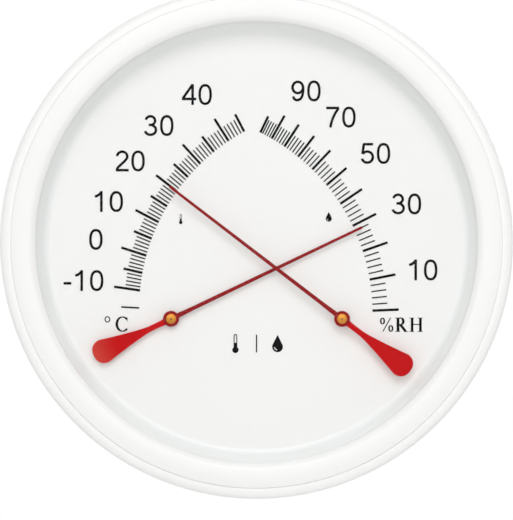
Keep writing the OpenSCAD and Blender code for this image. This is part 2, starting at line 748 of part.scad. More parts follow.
module temperature_bridge() color("goldenrod") bridge(right, temperature_trim);
module temperature_bridge_screws() color("silver") bridge_screws(right);
module temperature_friction_washer() color("gray") friction_washer(right);
module temperature_regulator() color("gold") regulator(right);
module temperature_regulator_arm() color("darkgoldenrod") regulator_arm(right, temperature_strip_t);
module temperature_bearing_bush() color("gold") bearing_bush(right);
module temperature_arbor() color("silver") arbor(right, temperature_lift);
module temperature_collet() color("gold") collet(right, temperature_strip_t);
module temperature_coil() color("slategray") coil(right, temperature_turns, temperature_strip_t);
module temperature_pointer() color("firebrick")
    pointer(right, temperature_angle(temperature_now), temperature_needle_l, temperature_lift);
module temperature_pointer_hub() color("gold") pointer_hub(right, temperature_lift);

module humidity_bridge() color("goldenrod") bridge(left, humidity_trim);
module humidity_bridge_screws() color("silver") bridge_screws(left);
module humidity_friction_washer() color("gray") friction_washer(left);
module humidity_regulator() color("gold") regulator(left);
module humidity_regulator_arm() color("darkgoldenrod") regulator_arm(left, humidity_strip_t);
module humidity_bearing_bush() color("gold") bearing_bush(left);
module humidity_arbor() color("silver") arbor(left, humidity_lift);
module humidity_collet() color("gold") collet(left, humidity_strip_t);
module humidity_coil() color("peru") coil(left, humidity_turns, humidity_strip_t);
module humidity_pointer() color("firebrick")
    pointer(left, humidity_angle(humidity_now), humidity_needle_l, humidity_lift);
module humidity_pointer_hub() color("gold") pointer_hub(left, humidity_lift);

rear_case();
bezel();
lens();
dial_ring();
dial_plate();
temperature_scale();
humidity_scale();
temperature_bridge();
temperature_bridge_screws();
temperature_friction_washer();
temperature_regulator();
temperature_regulator_arm();
temperature_bearing_bush();
temperature_arbor();
temperature_collet();
temperature_coil();
temperature_pointer();
temperature_pointer_hub();
humidity_bridge();
humidity_bridge_screws();
humidity_friction_washer();
humidity_regulator();
humidity_regulator_arm();
humidity_bearing_bush();
humidity_arbor();
humidity_collet();
humidity_coil();
humidity_pointer();
humidity_pointer_hub();
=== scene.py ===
from math import asin, atan2, cos, degrees, hypot, pi, radians, sin, sqrt, tan

import bmesh
import bpy
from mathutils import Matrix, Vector
from mathutils.geometry import delaunay_2d_cdt


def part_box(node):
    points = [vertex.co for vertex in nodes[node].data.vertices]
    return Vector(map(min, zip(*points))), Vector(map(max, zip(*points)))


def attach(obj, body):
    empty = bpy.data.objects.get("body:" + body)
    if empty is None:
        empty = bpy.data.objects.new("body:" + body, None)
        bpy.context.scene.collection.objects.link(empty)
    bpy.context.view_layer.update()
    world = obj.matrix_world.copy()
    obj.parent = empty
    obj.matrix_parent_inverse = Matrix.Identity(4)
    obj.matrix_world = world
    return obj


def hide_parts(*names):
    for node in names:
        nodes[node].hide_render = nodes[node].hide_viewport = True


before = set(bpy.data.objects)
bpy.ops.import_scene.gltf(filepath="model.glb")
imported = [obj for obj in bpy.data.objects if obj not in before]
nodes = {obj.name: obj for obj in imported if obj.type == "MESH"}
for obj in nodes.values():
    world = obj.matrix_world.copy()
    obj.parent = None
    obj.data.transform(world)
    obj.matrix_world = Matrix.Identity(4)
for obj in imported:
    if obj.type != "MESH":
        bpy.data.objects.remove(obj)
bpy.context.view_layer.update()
mm = 0.001
print("wall thermo-hygrometer:", len(nodes), "nodes loaded")


def fromFrame(node):
    # a node's own sizes in mm: its depths out from the wall, its reach to the right and its middle
    lowest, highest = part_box(node)
    places = {
        "low": -highest.y, "high": -lowest.y, "reach": highest.x,
        "middleX": (lowest.x + highest.x) / 2, "middleZ": (lowest.z + highest.z) / 2,
    }
    return {name: round(value / mm, 3) for name, value in places.items()}


lens, dialPlate = fromFrame("lens"), fromFrame("dial_plate")

scene = bpy.context.scene
scene.view_settings.view_transform = "Standard"


def linear(red, green, blue):
    # screen colour from 0 to 255 as the linear values that sockets take
    steps = [value / 255 for value in (red, green, blue)]
    return tuple(s / 12.92 if s <= 0.04045 else ((s + 0.055) / 1.055) ** 2.4 for s in steps)


class Wire:
    # an output socket, and an expression on it adds the Math nodes
    def __init__(self, shading, socket):
        self.shading = shading
        self.socket = socket

    def maths(self, operation, *values):
        return self.shading.node("ShaderNodeMath", {"operation": operation}, dict(enumerate(values)))

    def __add__(self, other):
        return self.maths("ADD", self, other)

    def __sub__(self, other):
        return self.maths("SUBTRACT", self, other)

    def __rsub__(self, other):
        return self.maths("SUBTRACT", other, self)

    def __mul__(self, other):
        return self.maths("MULTIPLY", self, other)

    __radd__ = __add__
    __rmul__ = __mul__

    def wave(self):
        return self.maths("SINE", self)

    def larger(self, other):
        return self.maths("MAXIMUM", self, other)

    def rise(self, low, high):
        # 0 below low, 1 above high, smooth between them
        return self.shading.node(
            "ShaderNodeMapRange", {"interpolation_type": "SMOOTHSTEP"},
            {"Value": self, "From Min": low, "From Max": high})


class Shading:
    # one node tree, of a material or of the world
    def __init__(self, owner):
        owner.use_nodes = True
        self.tree = owner.node_tree
        self.tree.nodes.clear()

    def node(self, kind, settings=None, inputs=None, output=0):
        made = self.tree.nodes.new(kind)
        for name, value in (settings or {}).items():
            setattr(made, name, value)
        for name, value in (inputs or {}).items():
            socket = made.inputs[name]
            if isinstance(value, Wire):
                self.tree.links.new(value.socket, socket)
            elif socket.type == "RGBA" and len(value) == 3:
                socket.default_value = (*value, 1)
            else:
                socket.default_value = value
        return Wire(self, made.outputs[output]) if made.outputs else made

    def vector(self, operation, first, second, output=0):
        return self.node(
            "ShaderNodeVectorMath", {"operation": operation}, {0: first, 1: second}, output)

    def place(self):
        # position on the object in metres, which rides with the piece
        return self.node("ShaderNodeTexCoord", output="Object")

    def noise(self, scale, detail=3, stretch=(1, 1, 1)):
        where = self.vector("MULTIPLY", self.place(), stretch)
        return self.node(
            "ShaderNodeTexNoise", None, {"Vector": where, "Scale": scale, "Detail": detail})

    def blend(self, factor, first, second):
        return self.node(
            "ShaderNodeMix", {"data_type": "RGBA"}, {0: factor, 6: first, 7: second}, output=2)

    def bump(self, height, distance):
        return self.node("ShaderNodeBump", None, {"Height": height, "Distance": distance})

    def axis(self, letter):
        return self.node("ShaderNodeSeparateXYZ", None, {"Vector": self.place()}, output=letter)

    def distanceFrom(self, spot, keep):
        # distance from a point, along the axes that keep has as 1
        return self.vector("DISTANCE", self.vector("MULTIPLY", self.place(), keep), spot, "Value")

    def seenDirectly(self):
        # 1 for the camera and for what it sees in gloss and through glass
        camera, gloss, glass = (
            self.node("ShaderNodeLightPath", output=f"Is {ray} Ray")
            for ray in ("Camera", "Glossy", "Transmission"))
        return camera.larger(gloss).larger(glass)

    def surface(self, **inputs):
        # spaces in socket names are written as underscores
        named = {name.replace("_", " "): value for name, value in inputs.items()}
        return self.node("ShaderNodeBsdfPrincipled", None, named)

    def finish(self, shader, kind="ShaderNodeOutputMaterial"):
        self.node(kind, None, {"Surface": shader})


def newFinish(name):
    material = bpy.data.materials.new(name)
    return material, Shading(material)


photoView = {
    "distance": 1.6, "height": -0.0079, "lens": 246.2, "sensor": 36.0, "clipNear": 0.05, "clipFar": 60,
}

cameraData = bpy.data.cameras.new("frontCamera")
cameraData.sensor_fit = "HORIZONTAL"
cameraData.sensor_width = photoView["sensor"]
cameraData.lens = photoView["lens"]
cameraData.clip_start = photoView["clipNear"]
cameraData.clip_end = photoView["clipFar"]
camera = bpy.data.objects.new("frontCamera", cameraData)
camera.location = (0, -photoView["distance"], photoView["height"])
camera.rotation_euler = (radians(90), 0, 0)
scene.collection.objects.link(camera)
scene.camera = camera

fillLight = {"strength": 0.437}

world = bpy.data.worlds.new("paleStudio")
scene.world = world
sky = Shading(world)
skyLight = sky.seenDirectly() * (1 - fillLight["strength"]) + fillLight["strength"]
sky.finish(
    sky.node("ShaderNodeBackground", None, {"Color": (1, 1, 1), "Strength": skyLight}),
    "ShaderNodeOutputWorld")

lamps = {  # share: what the lamp alone gives a white surface that faces along the dial's normal
    "keyLamp": {"share": 0.086, "size": 2.4, "distance": 6.0, "lift": 38, "turn": 0},
    "broadLamp": {"share": 0.412, "size": 5.4, "distance": 6.0, "lift": 22, "turn": 0},
    "topLamp": {"share": 0.006, "size": 3.6, "distance": 6.0, "lift": 80, "turn": 0},
    "backLamp": {"share": 0.30, "size": 1.8, "distance": 2.2, "lift": 30, "turn": 165},
}


def hangLamp(name, lamp):
    lift, turn = radians(lamp["lift"]), radians(lamp["turn"])
    away = Vector((sin(turn) * cos(lift), -cos(turn) * cos(lift), sin(lift)))
    data = bpy.data.lights.new(name, "AREA")
    data.shape = "SQUARE"
    data.size = lamp["size"]
    data.energy = lamp["share"] * pi ** 2 * lamp["distance"] ** 2 / cos(lift)
    made = bpy.data.objects.new(name, data)
    made.location = away * lamp["distance"]
    made.rotation_euler = away.to_track_quat("Z", "Y").to_euler()
    scene.collection.objects.link(made)


for lampName, lampSettings in lamps.items():
    hangLamp(lampName, lampSettings)

floorPlan = {
    "level": -0.160, "reach": 9.0, "shade": (0.92, 0.92, 0.91), "paler": 1.02, "grain": 160, "rough": 0.75,
    "specular": 0.2, "fadeFrom": 0.27, "fadeTo": 0.42,
}


def paleFloor():
    # pale paper near the object, which fades to plain white further off
    s = floorPlan
    reach, level = s["reach"], s["level"]
    mesh = bpy.data.meshes.new("paleFloor")
    corners = [(x * reach, y * reach, level) for x, y in ((-1, -1), (1, -1), (1, 1), (-1, 1))]
    mesh.from_pydata(corners, [], [(0, 1, 2, 3)])
    floor = bpy.data.objects.new("paleFloor", mesh)
    scene.collection.objects.link(floor)
    material, shading = newFinish("floorPaper")
    paler = tuple(value * s["paler"] for value in s["shade"])
    tint = shading.blend(shading.noise(s["grain"]), s["shade"], paler)
    paper = shading.surface(Base_Color=tint, Roughness=s["rough"], Specular_IOR_Level=s["specular"])
    white = shading.node("ShaderNodeEmission", None, {"Color": (1, 1, 1), "Strength": 1})
    far = shading.distanceFrom((0, 0, 0), (1, 1, 0)).rise(s["fadeFrom"], s["fadeTo"])
    shading.finish(shading.node(
        "ShaderNodeMixShader", None, {0: far * shading.seenDirectly(), 1: paper, 2: white}))
    mesh.materials.append(material)


paleFloor()
print("camera, lamps and floor set")


# finishes: tones are screen colours, noise scales are per metre, places are in metres, heights in mm
whitePlastic = {
    "flowScale": 22, "flowStretch": (1, 1, 0.35), "flowRough": 0.06, "deeper": 3, "speckScale": 420,
    "speckRough": 0.03, "peelScale": 260, "peelShare": 0.7, "height": 0.006, "ior": 1.49, "specular": 0.5,
    "backFrom": -0.017, "backTo": -0.012, "grainScale": 1500, "grainHeight": 0.10, "grainRough": 0.22,
}


def mouldedWhite(name, tone, rough, backGrain=False):
    # faint flow marks, a skin of orange peel, and a matt grain on the back
    s = whitePlastic
    material, shading = newFinish(name)
    flow = shading.noise(s["flowScale"], detail=4, stretch=s["flowStretch"])
    speck = shading.noise(s["speckScale"], detail=2)
    deeper = [value - s["deeper"] for value in tone]
    colour = shading.blend(flow, linear(*tone), linear(*deeper))
    peel = shading.noise(s["peelScale"], detail=2) * s["peelShare"] + speck * (1 - s["peelShare"])
    roughness = rough + flow * s["flowRough"] + speck * s["speckRough"]
    height = peel * s["height"]
    if backGrain:
        behind = shading.axis("Y").rise(s["backFrom"], s["backTo"])
        grain = shading.noise(s["grainScale"], detail=2)
        height = height + grain * behind * s["grainHeight"]
        roughness = roughness + behind * s["grainRough"]
    shading.finish(shading.surface(
        Base_Color=colour, Roughness=roughness, IOR=s["ior"], Specular_IOR_Level=s["specular"],
        Normal=shading.bump(height, mm)))
    return material


enamelLook = {
    "tone": (247, 246, 245), "deeper": (244, 244, 242), "cloudScale": 16, "fleckScale": 900,
    "waveScale": 520, "waveShare": 0.6, "rough": 0.42, "cloudRough": 0.08, "fleckRough": 0.05,
    "specular": 0.35, "height": 0.006,
}


def enamelDial():
    s = enamelLook
    material, shading = newFinish("dialEnamel")
    cloud = shading.noise(s["cloudScale"], detail=4)
    fleck = shading.noise(s["fleckScale"], detail=2)
    waves = shading.noise(s["waveScale"], detail=2) * s["waveShare"] + fleck * (1 - s["waveShare"])
    shading.finish(shading.surface(
        Base_Color=shading.blend(cloud, linear(*s["tone"]), linear(*s["deeper"])),
        Roughness=s["rough"] + cloud * s["cloudRough"] + fleck * s["fleckRough"],
        Specular_IOR_Level=s["specular"], Normal=shading.bump(waves, s["height"] * mm)))
    return material


inkLook = {
    "tone": (8, 8, 10), "deeper": (18, 18, 20), "patchScale": 700, "rough": 0.45, "patchRough": 0.18,
    "specular": 0.05, "height": 0.01,
}


def printedInk():
    s = inkLook
    material, shading = newFinish("printedInk")
    patch = shading.noise(s["patchScale"])
    shading.finish(shading.surface(
        Base_Color=shading.blend(patch, linear(*s["tone"]), linear(*s["deeper"])),
        Roughness=s["rough"] + patch * s["patchRough"], Specular_IOR_Level=s["specular"],
        Normal=shading.bump(patch, s["height"] * mm)))
    return material


redLook = {
    # the third tone is a painted sheen: a paler red for light catching the tail's end
    "tail": (200, 12, 18), "tailDeeper": (192, 16, 20), "tailSheenTone": (222, 104, 88),
    "needle": (146, 26, 30), "fadeFrom": 0.026, "fadeTo": 0.042, "needleFrom": -0.002, "needleTo": 0.004,
    "discFrom": 0.0034, "discTo": 0.0040, "cloudScale": 140, "peelScale": 1100, "rough": 0.34,
    "cloudRough": 0.12, "specular": 0.05, "height": 0.008,
}


def redPaint(name, pivot, direction, paintedSheen):
    # the tail is bright red with a painted sheen that pales it towards its end, the needle and the disc
    # are a deeper crimson
    s = redLook
    material, shading = newFinish(name)
    along = shading.vector("SUBTRACT", shading.place(), pivot)
    reach = shading.vector("DOT_PRODUCT", along, direction, "Value")
    away = shading.distanceFrom(pivot, (1, 0, 1))
    needle = reach.rise(s["needleFrom"], s["needleTo"])
    disc = 1 - away.rise(s["discFrom"], s["discTo"])
    cloud = shading.noise(s["cloudScale"])
    tail = shading.blend(cloud, linear(*s["tail"]), linear(*s["tailDeeper"]))
    # painted sheen: towards its end the tail is mixed to a paler red that stands in for light catching it
    tail = shading.blend(
        away.rise(s["fadeFrom"], s["fadeTo"]) * paintedSheen, tail, linear(*s["tailSheenTone"]))
    peel = shading.noise(s["peelScale"], detail=2)
    shading.finish(shading.surface(
        Base_Color=shading.blend(needle.larger(disc), tail, linear(*s["needle"])),
        Roughness=s["rough"] + cloud * s["cloudRough"], Specular_IOR_Level=s["specular"],
        Normal=shading.bump(peel, s["height"] * mm)))
    return material


metalLook = {
    "stainScale": 90, "stainRough": 0.14, "grainScale": 600, "turnedScale": 1800, "ringPitch": 0.24,
    "ringHeight": 0.5, "height": 0.006,
}


def metal(name, tone, deeper, rough, grain=(1, 1, 1), turnedAt=None):
    # turnedAt is the axis of lathe rings, and without it the grain runs along the stretched axis
    s = metalLook
    material, shading = newFinish(name)
    stain = shading.noise(s["stainScale"], detail=4)
    if turnedAt:
        rings = shading.distanceFrom(turnedAt, (1, 0, 1)) * (2 * pi / (s["ringPitch"] * mm))
        height = rings.wave() * s["ringHeight"] + shading.noise(s["turnedScale"], detail=2)
    else:
        height = shading.noise(s["grainScale"], stretch=grain)
    shading.finish(shading.surface(
        Base_Color=shading.blend(stain, linear(*tone), linear(*deeper)), Metallic=1,
        Roughness=rough + stain * s["stainRough"], Normal=shading.bump(height, s["height"] * mm)))
    return material


filmLook = {
    "tone": (196, 158, 112), "deeper": (158, 116, 74), "fibreScale": 900, "fibreStretch": (1, 0.12, 1),
    "rough": 0.55, "fibreRough": 0.2, "height": 0.04,
}


def humidityFilm():
    # moisture-sensitive strip: a fibrous tan film on a metal spiral
    s = filmLook
    material, shading = newFinish("humidityFilm")
    fibre = shading.noise(s["fibreScale"], detail=4, stretch=s["fibreStretch"])
    shading.finish(shading.surface(
        Base_Color=shading.blend(fibre, linear(*s["tone"]), linear(*s["deeper"])),
        Roughness=s["rough"] + fibre * s["fibreRough"], Normal=shading.bump(fibre, s["height"] * mm)))
    return material


bimetalLook = {
    "tone": (176, 172, 164), "deeper": (158, 146, 122), "heatScale": 70, "rollScale": 700,
    "rollStretch": (1, 0.06, 1), "rough": 0.26, "rollRough": 0.2, "height": 0.01,
}


def bimetalStrip():
    # steel grey that turns to straw, with rolling lines
    s = bimetalLook
    material, shading = newFinish("bimetalStrip")
    roll = shading.noise(s["rollScale"], stretch=s["rollStretch"])
    heat = shading.noise(s["heatScale"])
    shading.finish(shading.surface(
        Base_Color=shading.blend(heat, linear(*s["tone"]), linear(*s["deeper"])), Metallic=1,
        Roughness=s["rough"] + roll * s["rollRough"], Normal=shading.bump(roll, s["height"] * mm)))
    return material


glassLook = {
    "sheen": (0.92, 0.97, 0.96), "smearScale": 18, "smearStretch": (1, 1, 2.2), "rough": 0.03,
    "smearRough": 0.03, "smearAlpha": 0.003, "edgeBlend": 0.3, "edgeAlpha": 0.30, "height": 0.002,
}


def flatGlass():
    # thin clear pane: it lets the dial through and shows more sheen towards grazing
    s = glassLook
    material, shading = newFinish("flatGlass")
    smear = shading.noise(s["smearScale"], detail=4, stretch=s["smearStretch"])
    grazing = shading.node("ShaderNodeLayerWeight", None, {"Blend": s["edgeBlend"]}, output="Facing")
    shading.finish(shading.surface(
        Base_Color=s["sheen"], Metallic=1, Roughness=s["rough"] + smear * s["smearRough"],
        Alpha=smear * s["smearAlpha"] + grazing * s["edgeAlpha"],
        Normal=shading.bump(smear, s["height"] * mm)))
    return material


finishes = {
    "case_plastic": mouldedWhite("caseWhite", tone=(248, 248, 247), rough=0.26, backGrain=True),
    "bezel_plastic": mouldedWhite("bezelWhite", tone=(246, 246, 245), rough=0.28),
    "ring_plastic": mouldedWhite("ringWhite", tone=(246, 248, 247), rough=0.26),
    "dial_enamel": enamelDial(),
    "scale_ink": printedInk(),
    "clear_glass": flatGlass(),
    "brass_sheet": metal(
        "brassSheet", tone=(226, 190, 112), deeper=(204, 164, 88), rough=0.30, grain=(0.08, 1, 1)),
    "brass": metal("turnedBrass", tone=(228, 188, 104), deeper=(206, 160, 78), rough=0.24),
    "steel": metal("zincSteel", tone=(206, 207, 208), deeper=(184, 186, 190), rough=0.28),
    "spindle": metal("spindleBrass", tone=(150, 112, 62), deeper=(126, 92, 50), rough=0.42),
    "bimetal": bimetalStrip(),
    "humidity_strip": humidityFilm(),
}

for part in nodes.values():
    for slot in part.material_slots:
        slotName = slot.material.name.split(".")[0]
        chosen = "spindle" if part.name.endswith("_arbor") else slotName
        if chosen in finishes:
            slot.material = finishes[chosen]
print("finishes made:", ", ".join(sorted(finishes)))

inkSpread = {"weld": 0.002, "spread": 0.12}

for scaleName in ("temperature_scale", "humidity_scale"):
    # printed ink spreads a little past the edges of its marks
    weld = nodes[scaleName].modifiers.new("joinedEdges", "WELD")
    weld.merge_threshold = inkSpread["weld"] * mm
    spread = nodes[scaleName].modifiers.new("inkSpread", "DISPLACE")
    spread.strength = inkSpread["spread"] * mm
    spread.mid_level = 0


# shapes are drawn in mm: r from an axis or x and z on the dial, d out from the wall
meshCare = {
    "crease": 40, "samePoint": 1e-6, "filletShare": 0.45, "filletSteps": 4, "leastTangent": 0.05,
}


def addPiece(name, points, faces, material, body, stands=()):
    mesh = bpy.data.meshes.new(name)
    mesh.from_pydata(points, [], faces)
    shape = bmesh.new()
    shape.from_mesh(mesh)
    bmesh.ops.recalc_face_normals(shape, faces=shape.faces)
    shape.to_mesh(mesh)
    shape.free()
    mesh.polygons.foreach_set("use_smooth", [True] * len(mesh.polygons))
    mesh.set_sharp_from_angle(angle=radians(meshCare["crease"]))
    mesh.materials.append(material)
    piece = bpy.data.objects.new(name, mesh)
    scene.collection.objects.link(piece)
    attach(piece, body)
    for node in stands:
        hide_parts(node)
    return piece


def evenShading(piece):
    # large flat faces keep their own direction beside small fillets
    weighting = piece.modifiers.new("evenShading", "WEIGHTED_NORMAL")
    weighting.keep_sharp = True


def arcPath(centre, radiusX, radiusY, start, end, steps):
    turns = [radians(start + (end - start) * i / steps) for i in range(steps + 1)]
    return [(centre[0] + radiusX * cos(turn), centre[1] + radiusY * sin(turn)) for turn in turns]


def circle(centre, radius, steps):
    return arcPath(centre, radius, radius, 0, 360, steps)[:-1]


def bezier(start, bend, end, steps):
    # points from start up to but without the end
    points = []
    for k in range(steps):
        t = k / steps
        spot = start * (1 - t) ** 2 + bend * (2 * t * (1 - t)) + end * t ** 2
        points.append((spot.x, spot.y))
    return points


def superOval(centre, radiusX, radiusY, start, end, steps, power=2.35):
    points = []
    for i in range(steps + 1):
        turn = radians(start + (end - start) * i / steps)
        c, s = cos(turn), sin(turn)
        points.append((
            centre[0] + radiusX * (abs(c) ** (2 / power)) * (1 if c > 0 else -1),
            centre[1] + radiusY * (abs(s) ** (2 / power)) * (1 if s > 0 else -1)))
    return points


def filleted(corners):
    # corners are (r, d, fillet), and a fillet of 0 keeps the point as it is
    points = []
    for i, (r, d, fillet) in enumerate(corners):
        here = Vector((r, d))
        before = Vector(corners[i - 1][:2]) - here
        after = Vector(corners[(i + 1) % len(corners)][:2]) - here
        shorter = min(before.length, after.length)
        if not fillet or shorter < meshCare["samePoint"]:
            points.append((r, d))
            continue
        tangent = abs(tan(before.angle(after) / 2))
        back = min(fillet / max(meshCare["leastTangent"], tangent), shorter * meshCare["filletShare"])
        start, end = here + before.normalized() * back, here + after.normalized() * back
        points += bezier(start, here, end, meshCare["filletSteps"]) + [tuple(end)]
    return points


def turned(name, profile, count, material, body, stands=(), centre=(0, 0), closed=True, lobes=None):
    # revolves a profile of (r, d), and lobes gives what each of its points moves out by at an angle
    axisX, axisZ = centre[0] * mm, centre[1] * mm
    points, faces = [], []
    for i in range(count):
        angle = 2 * pi * i / count
        for k, (r, d) in enumerate(profile):
            out = (r + (lobes(k, degrees(angle)) if lobes else 0)) * mm
            points.append((axisX + out * cos(angle), -d * mm, axisZ + out * sin(angle)))
    size = len(profile)
    spans = size if closed else size - 1
    for i in range(count):
        here, there = i * size, (i + 1) % count * size
        for k in range(spans):
            nextK = (k + 1) % size
            faces.append((here + k, there + k, there + nextK, here + nextK))
    if not closed:
        for k in (0, size - 1):
            points.append((axisX, -profile[k][1] * mm, axisZ))
            for i in range(count):
                faces.append((i * size + k, (i + 1) % count * size + k, len(points) - 1))
    evenShading(addPiece(name, points, faces, material, body, stands))


def signedArea(loop):
    return sum(a[0] * b[1] - b[0] * a[1] for a, b in zip(loop, loop[1:] + loop[:1])) / 2


def fillArea(filled, holes=()):
    # triangles of the united outlines, less the holes
    loops = [loop if signedArea(loop) > 0 else loop[::-1] for loop in list(filled) + list(holes)]
    points, rings = [], []
    for loop in loops:
        rings.append(list(range(len(points), len(points) + len(loop))))
        points.extend(Vector(spot) for spot in loop)
    made = delaunay_2d_cdt(points, [], rings, 1, meshCare["samePoint"])
    spots, triangles, origins = made[0], made[2], made[5]
    kept = [
        tuple(face) for face, origin in zip(triangles, origins)
        if origin and all(ring < len(filled) for ring in origin)]
    return [(spot.x, spot.y) for spot in spots], kept


def raisedInk(name, filled, holes=()):
    # flat printed shape on the dial, with a real edge, as thick as the scales
    ink = fromFrame("temperature_scale")
    spots, triangles = fillArea(filled, holes)
    used = sorted({i for face in triangles for i in face})
    index = {old: new for new, old in enumerate(used)}
    count = len(used)
    points = []
    for level in (ink["high"], ink["low"]):
        points += [(spots[i][0] * mm, -level * mm, spots[i][1] * mm) for i in used]
    faces, edges = [], {}
    for face in triangles:
        a, b, c = (index[i] for i in face)
        faces.append((a, b, c))
        faces.append((c + count, b + count, a + count))
        for start, end in ((a, b), (b, c), (c, a)):
            edges[(start, end)] = True
    for start, end in edges:
        if (end, start) not in edges:
            faces.append((end, start, start + count, end + count))
    addPiece(name, points, faces, finishes["scale_ink"], "case")


bezelShape = {
    "window": 98.95, "outside": 109.93, "faceR": 22.0, "faceH": 4.5, "faceSteps": 22,
    "lipFoot": 2.3, "lipBend": 100.4, "lipEnd": 102.0, "lipSteps": 16, "lipFillet": 0.12,
    "edgeR": 0.15, "edgeSteps": 10, "edgeOverlap": 0.8,
    "skirtIn": 107.6, "skirtFillets": (0.4, 0.3),
    "hollowR": 2.0, "hollowAt": (105.6, 27.0), "hollowSteps": 14, "hollowFillet": 0.1,
    "nubCount": 6, "nubArc": 8, "nubOut": 0.64, "nubLow": 17.9, "nubHigh": 19.3,
    "nubStart": 0.25, "nubInset": 0.1, "steps": 360,
}


def makeBezel():
    # gently domed face, a sloping lip on the glass, a hollow skirt and six snap nubs
    s = bezelShape
    glassTop, skirtEnd = lens["high"], fromFrame("bezel")["low"]
    faceX = (s["window"] + s["outside"]) / 2
    faceD = glassTop + s["faceH"] - s["faceR"]

    def onFace(x, inset=0):
        # height and angle of a point of the domed face, or of a circle inside it
        d = faceD + sqrt((s["faceR"] - inset) ** 2 - (x - faceX) ** 2)
        return d, degrees(atan2(d - faceD, x - faceX))

    lipEndD, lipAngle = onFace(s["lipEnd"])
    lipSlope = (faceX - s["lipEnd"]) / (lipEndD - faceD)
    lipBend = Vector((s["lipBend"], lipEndD + (s["lipBend"] - s["lipEnd"]) * lipSlope))
    lipFoot = Vector((s["window"], glassTop + s["lipFoot"]))
    edgeX = s["outside"] - s["edgeR"]
    edgeD, edgeAngle = onFace(edgeX, s["edgeR"])
    face = bezier(lipFoot, lipBend, Vector((s["lipEnd"], lipEndD)), s["lipSteps"])
    face += arcPath(
        (faceX, faceD), s["faceR"], s["faceR"], lipAngle, edgeAngle + s["edgeOverlap"], s["faceSteps"])
    face += arcPath((edgeX, edgeD), s["edgeR"], s["edgeR"], edgeAngle, 0, s["edgeSteps"])
    hollow = arcPath(s["hollowAt"], s["hollowR"], s["hollowR"], 0, 180, s["hollowSteps"])
    low, high = s["nubLow"], s["nubHigh"]
    nubSpots = (high + s["nubStart"], high - s["nubInset"], low + s["nubInset"], low - s["nubStart"])
    corners = [(s["window"], glassTop, s["lipFillet"])] + [(*spot, 0) for spot in face]
    corners += [(s["outside"], spot, 0) for spot in nubSpots]
    corners += [
        (s["outside"], skirtEnd, s["skirtFillets"][0]), (s["skirtIn"], skirtEnd, s["skirtFillets"][1])]
    corners += [(*spot, 0) for spot in hollow]
    corners += [(s["hollowAt"][0] - s["hollowR"], glassTop, s["hollowFillet"])]
    profile = filleted(corners)
    nubPoints = {
        k for k, (r, d) in enumerate(profile)
        if abs(r - s["outside"]) < meshCare["samePoint"] and low < d < high}

    def nubs(k, angle):
        step = 360 / s["nubCount"]
        offset = abs((angle + step / 2) % step - step / 2)
        return s["nubOut"] if k in nubPoints and offset <= s["nubArc"] / 2 else 0

    turned(
        "bezelRing", profile, s["steps"], finishes["bezel_plastic"], "case", ["bezel"],
        lobes=nubs)


ringShape = {
    "inner": 96.0, "foot": 100.5, "wall": 1.4, "window": 99.2, "cove": (93.3, 16.34),
    "coveBend": (95.5, 16.6), "middle": (96.5, 19.0), "slopeBend": (97.6, 21.6), "curveSteps": 12,
    "smallFillet": 0.2, "fillet": 0.3, "steps": 288,
}


def makeRing():
    # stands on the dial, runs out softly over it and leans back to the window
    s = ringShape
    small, fillet, wall = s["smallFillet"], s["fillet"], s["wall"]
    base, top, outside = dialPlate["high"], lens["low"], fromFrame("dial_ring")["reach"]
    corners = [
        (s["foot"], base, small), (s["foot"], base + wall, small),
        (s["inner"] + 2 * wall, base + wall, fillet), (s["window"] + wall, top - wall, fillet),
        (outside, top - wall, small), (outside, top, small)]
    high, middle, low = Vector((s["window"], top)), Vector(s["middle"]), Vector(s["cove"])
    slope = bezier(high, Vector(s["slopeBend"]), middle, s["curveSteps"])
    slope += bezier(middle, Vector(s["coveBend"]), low, s["curveSteps"])
    corners += [(*spot, 0) for spot in slope + [tuple(low), (low.x, base)]]
    turned(
        "spacerRing", filleted(corners), s["steps"], finishes["ring_plastic"], "case",
        ["dial_ring"])


glassShape = {"chamfer": 0.3, "innerRings": (0.35, 0.8), "steps": 240}


def makeGlass():
    # the lens with a fine chamfer, and two inner rings that keep its faces even
    s = glassShape
    radius, bottom, top, chamfer = lens["reach"], lens["low"], lens["high"], s["chamfer"]
    profile = [(radius * share, bottom) for share in s["innerRings"]]
    profile += [
        (radius - chamfer, bottom), (radius, bottom + chamfer),
        (radius, top - chamfer), (radius - chamfer, top)]
    profile += [(radius * share, top) for share in reversed(s["innerRings"])]
    turned(
        "glassPane", profile, s["steps"], finishes["clear_glass"], "case", ["lens"],
        closed=False)


makeBezel()
makeRing()
makeGlass()
print("bezel, spacer ring and glass made")


movements = {  # the needle's direction in degrees, its length, and how much painted sheen pales its tail's end
    "temperature": {"angle": 142.5, "needle": 97.9, "paintedSheen": 0.0},
    "humidity": {"angle": 25.6, "needle": 95.6, "paintedSheen": 0.45},
}
pointerShape = {
    "rootW": 1.85, "tipW": 1.2, "tipL": 0.5, "tipSteps": 8, "needleSteps": 12,
    "discR": 3.6, "discTrim": 3, "discSteps": 18, "boreR": 1.4, "boreSteps": 40,
    "neckW": 2.5, "neckL": 11.0, "flarePower": 1.22, "flareSteps": 16,
    "endCentre": -33.3, "endHalf": 5.4, "endLong": 5.3, "endPower": 2.3, "endSteps": 24,
    "edge": 0.1, "edgeBend": 0.3,
}


def pivotOf(kind):
    hub = fromFrame(f"{kind}_pointer_hub")
    return hub["middleX"], hub["middleZ"]


